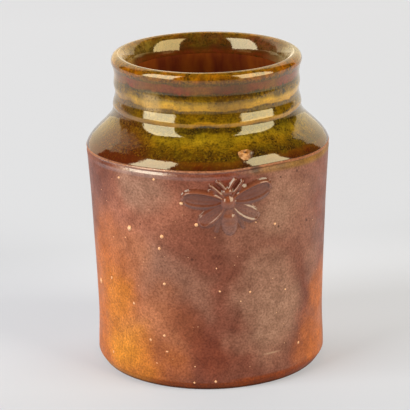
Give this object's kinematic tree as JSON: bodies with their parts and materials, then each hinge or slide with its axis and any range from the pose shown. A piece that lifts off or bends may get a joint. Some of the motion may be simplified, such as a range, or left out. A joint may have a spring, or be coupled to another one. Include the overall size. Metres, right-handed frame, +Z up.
{
  "type": "storage jar",
  "caption": "Thrown stoneware storage jar with a wide mouth, rolled rim, glossy amber neck and shoulder, salt-glazed wall and a bee in relief.",
  "frame": {"origin": "middle of the flat base, on the jar's axis", "axes": "+Z up along the jar's axis, -Y towards the bee, +X to the right of someone who faces the bee"},
  "size_m": [0.0936, 0.0944, 0.1217],
  "materials": {
    "clay": "satin salt-glazed stoneware, mauve brown with orange flashing",
    "shoulder_glaze": "glossy amber and olive ash glaze",
    "liner_glaze": "glossy dark red-brown liner glaze",
    "sprig": "satin salt-glazed clay",
    "crumb": "rough fired brick crumb"
  },
  "bodies": {
    "root": {"jar_body": "clay", "shoulder_glaze": "shoulder_glaze", "liner_glaze": "liner_glaze", "bee_sprig": "sprig", "kiln_crumb": "crumb"}
  },
  "joints": []
}
